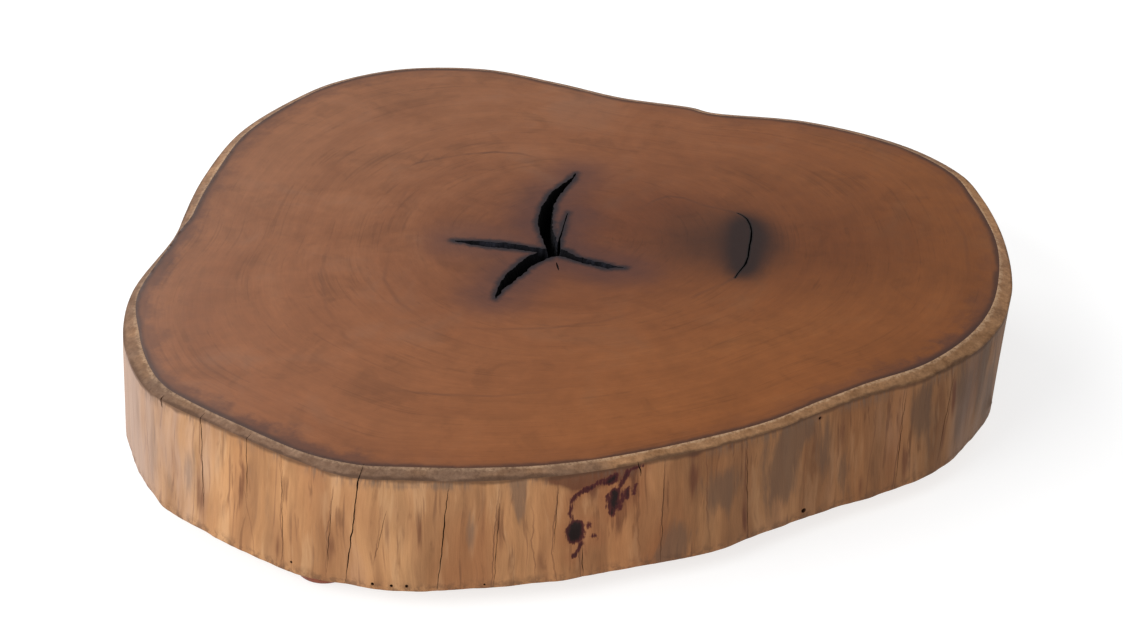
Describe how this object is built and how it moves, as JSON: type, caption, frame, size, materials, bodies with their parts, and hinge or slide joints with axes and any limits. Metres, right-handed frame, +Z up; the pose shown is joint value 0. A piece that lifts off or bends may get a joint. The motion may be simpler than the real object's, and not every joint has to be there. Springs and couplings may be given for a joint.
{
  "type": "wood slice",
  "caption": "Thick live-edge cross-cut of a tree trunk with a star-shaped heart crack and a pale sloping rim, standing level on short turned feet.",
  "frame": {"origin": "on the surface that the feet stand on, under the centre of the whole object's box", "axes": "+Z up, +X to the viewer's right as the picture shows it, +Y away from the viewer"},
  "size_m": [0.7076, 0.6858, 0.108],
  "materials": {
    "slab": "satin heartwood top, raw peeled sapwood side",
    "foot": "dark stained, satin",
    "screw": "zinc plated"
  },
  "bodies": {
    "root": {"slab": "slab", "foot_1": "foot", "foot_2": "foot", "foot_3": "foot", "screw_1": "screw", "screw_2": "screw", "screw_3": "screw"}
  },
  "joints": []
}
